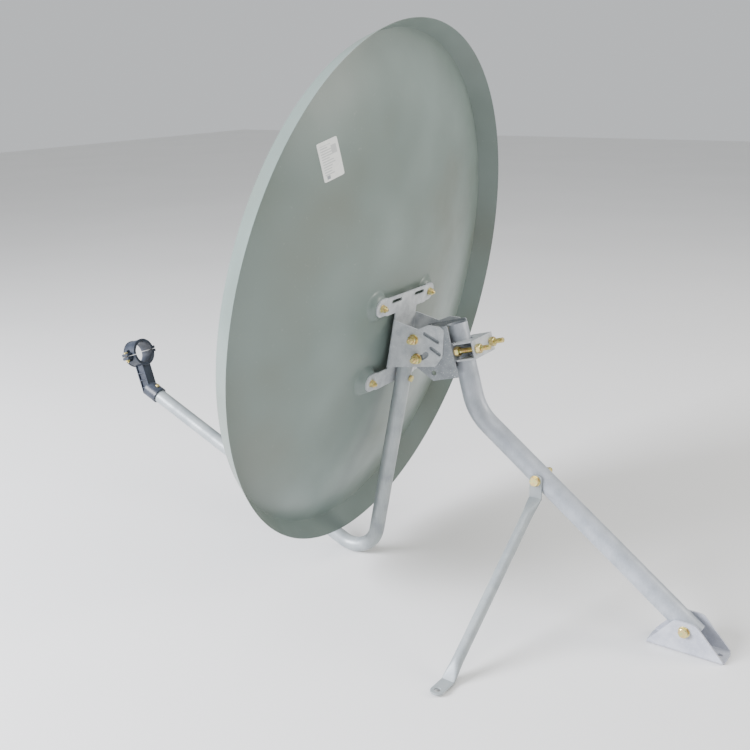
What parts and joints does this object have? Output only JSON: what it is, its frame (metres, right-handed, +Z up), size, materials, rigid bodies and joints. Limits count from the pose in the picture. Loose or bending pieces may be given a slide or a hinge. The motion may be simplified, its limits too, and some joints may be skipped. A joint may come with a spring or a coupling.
{
  "type": "satellite dish",
  "caption": "Offset reflector on a bent ground mast with a side strut, a slotted elevation bracket, a mast clamp and a feed arm ending in a round feed clamp.",
  "frame": {"origin": "on the ground, at the underside of the foot bracket, straight below the foot pivot", "axes": "+Z up; the mast leans towards -Y and lies in the plane X = 0; the reflector looks towards -Y; the side strut reaches out to +X"},
  "size_m": [0.7589, 1.1411, 0.8691],
  "materials": {
    "reflector_paint": "satin powder coat on pressed steel sheet",
    "pressed_steel": "pale grey coating on pressed steel",
    "galvanised_steel": "galvanised, dull",
    "mast_tube": "galvanised tube, smooth",
    "yellow_zinc": "yellow passivated zinc plating",
    "dark_plastic": "moulded, fine grain",
    "label_paper": "matt printed paper label, laminated"
  },
  "bodies": {
    "foot": {"foot_bracket": "galvanised_steel", "foot_bolt": "yellow_zinc", "foot_nut": "yellow_zinc", "foot_washers": "yellow_zinc"},
    "mast": {"mast": "mast_tube", "strut_bolt": "yellow_zinc", "strut_nut": "yellow_zinc", "strut_washers": "yellow_zinc"},
    "strut": {"strut": "galvanised_steel"},
    "clamp": {"mast_saddle": "pressed_steel", "clamp_jaw": "pressed_steel", "clamp_bolts": "yellow_zinc", "clamp_nuts": "yellow_zinc", "clamp_washers": "yellow_zinc", "hinge_bolt": "yellow_zinc", "hinge_nut": "yellow_zinc", "lock_bolt": "yellow_zinc", "lock_nut": "yellow_zinc", "elevation_washers": "yellow_zinc"},
    "dish": {"reflector": "reflector_paint", "reflector_rim": "reflector_paint", "reflector_bracket": "pressed_steel", "bracket_screws": "yellow_zinc", "bracket_washers": "yellow_zinc", "bracket_nuts": "yellow_zinc", "feed_arm": "galvanised_steel", "arm_bolts": "yellow_zinc", "arm_nuts": "yellow_zinc", "feed_holder": "dark_plastic", "feed_clamp_cap": "dark_plastic", "feed_clamp_screws": "yellow_zinc", "feed_clamp_nuts": "yellow_zinc", "holder_set_screw": "yellow_zinc", "paper_label": "label_paper"}
  },
  "joints": [
    {"name": "mast_tilt", "type": "hinge", "parent": "foot", "child": "mast", "pos_m": [0, 0, 0.035], "axis": [-1, 0, 0], "range_deg": [0, 60]},
    {"name": "strut_swing", "type": "hinge", "parent": "mast", "child": "strut", "pos_m": [0.016, -0.23542, 0.21111], "axis": [1, 0, 0], "range_deg": [-60, 60]},
    {"name": "azimuth_swivel", "type": "hinge", "parent": "mast", "child": "clamp", "pos_m": [0, -0.38241, 0.42997], "axis": [0, -0.2588, 0.9659], "range_deg": [-30, 30]},
    {"name": "elevation_tilt", "type": "hinge", "parent": "clamp", "child": "dish", "pos_m": [0.00314, -0.4377, 0.40481], "axis": [-0.9986, -0.0506, -0.0135], "range_deg": [0, 36]}
  ]
}
